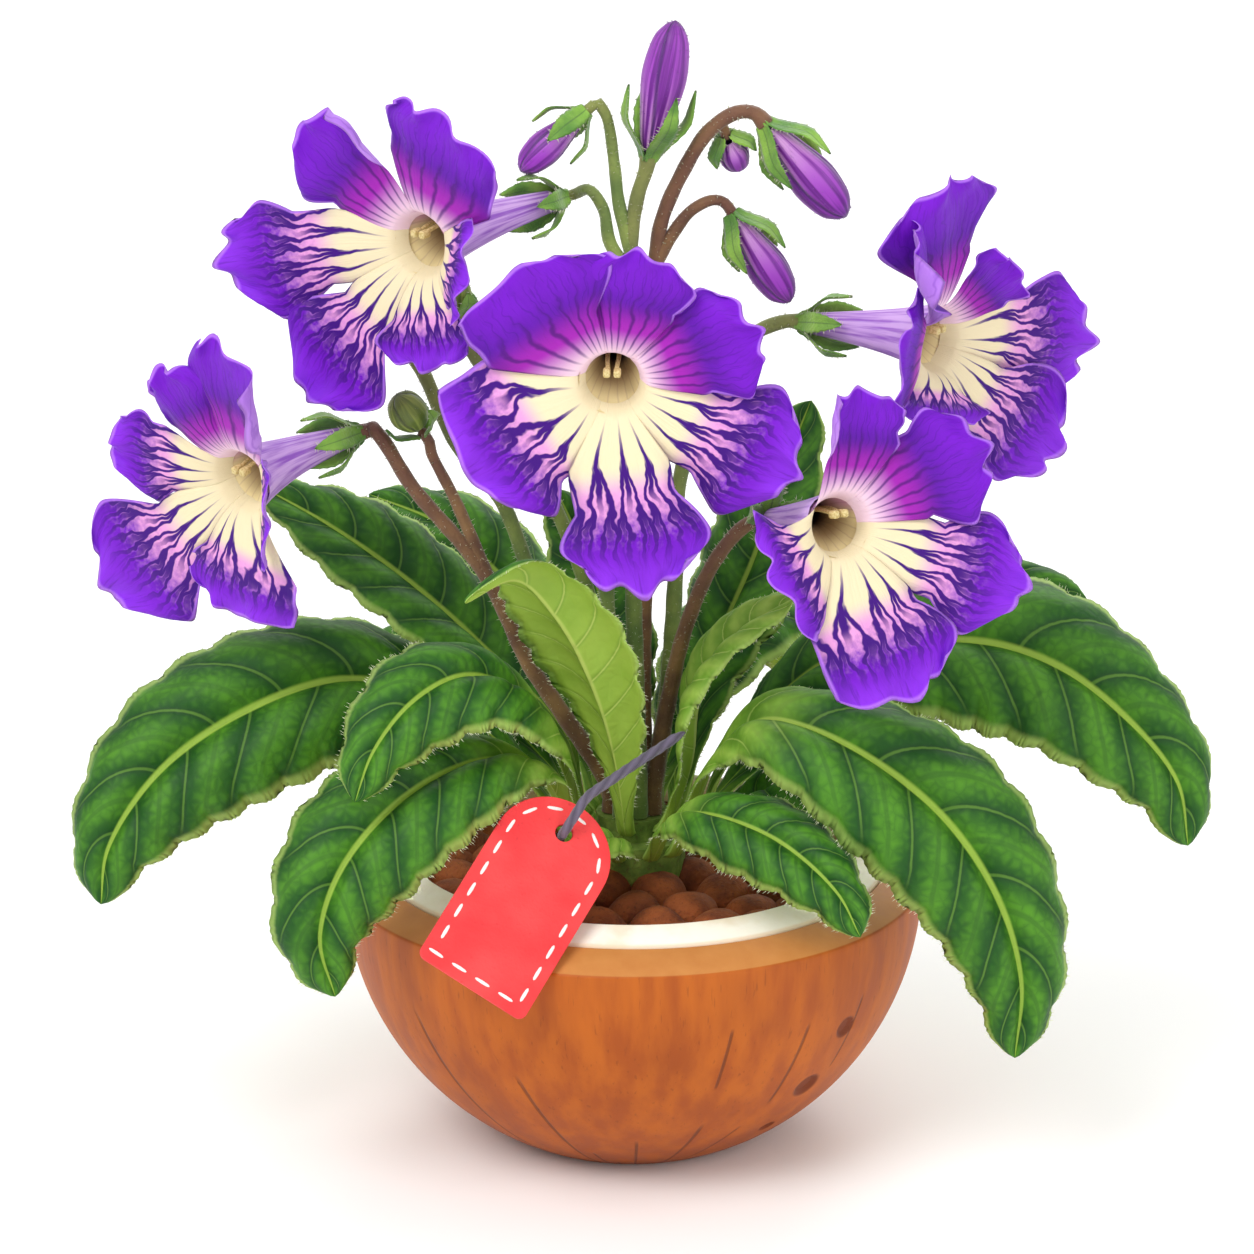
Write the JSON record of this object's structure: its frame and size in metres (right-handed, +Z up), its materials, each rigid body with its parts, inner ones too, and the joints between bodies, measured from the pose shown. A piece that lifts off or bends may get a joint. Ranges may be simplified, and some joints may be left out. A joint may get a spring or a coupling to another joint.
{
  "type": "potted flowering plant",
  "caption": "Flowering cape primrose with violet funnel blooms and buds over a rosette of crenate leaves, in a half coconut shell of clay balls, with a bare swing tag on a cord.",
  "frame": {"origin": "centre of the flat foot under the shell", "axes": "+Z up, the front with the tag faces -Y, +X to the right seen from the front"},
  "size_m": [0.2582, 0.1737, 0.2602],
  "materials": {
    "shell": "sanded and oiled coconut shell, satin",
    "lining": "dry white coconut flesh, matt",
    "medium": "fired clay balls, matt",
    "crown": "fleshy green stem base, matt",
    "leaf": "quilted hairy leaf, matt",
    "stem": "hairy fleshy stem, matt",
    "petal": "velvety petal, matt",
    "bud": "silky closed petals, soft satin",
    "anther": "waxy cream anther, matt",
    "tag": "red card with a stitched border, matt",
    "cord": "round twisted cord, matt"
  },
  "bodies": {
    "root": {"coconut_shell": "shell", "white_lining": "lining", "clay_medium": "medium", "crown": "crown", "hang_tag": "tag", "tag_cord": "cord", "leaf_left_large": "leaf", "leaf_left_upper": "leaf", "leaf_left_back": "leaf", "leaf_left_arched": "leaf", "leaf_front_left": "leaf", "leaf_front_upright": "leaf", "leaf_right_pale": "leaf", "leaf_right_large": "leaf", "leaf_front_right_large": "leaf", "leaf_front_right_small": "leaf", "leaf_front_small": "leaf", "leaf_right_lower": "leaf", "leaf_right_tall": "leaf", "leaf_back_left_inner": "leaf", "leaf_back_right_inner": "leaf", "leaf_right_back": "leaf", "leaf_back_right": "leaf", "leaf_back": "leaf", "leaf_back_left": "leaf", "stalk_left": "stem", "stalk_left_green": "stem", "stalk_left_olive": "stem", "stalk_middle": "stem", "stalk_right": "stem", "stalk_front": "stem", "stalk_right_lower": "stem", "stalk_right_upper": "stem", "corolla_upper_left": "petal", "stamens_upper_left": "anther", "corolla_left": "petal", "stamens_left": "anther", "corolla_centre": "petal", "stamens_centre": "anther", "corolla_right_lower": "petal", "stamens_right_lower": "anther", "corolla_upper_right": "petal", "stamens_upper_right": "anther", "bud_nodding_left": "bud", "bud_upright": "bud", "bud_nodding_right": "bud", "bud_nodding_inner": "bud", "bud_small_top": "bud", "bud_small_left": "bud", "bud_hidden_green": "bud", "bud_hidden_olive": "bud"}
  },
  "joints": []
}
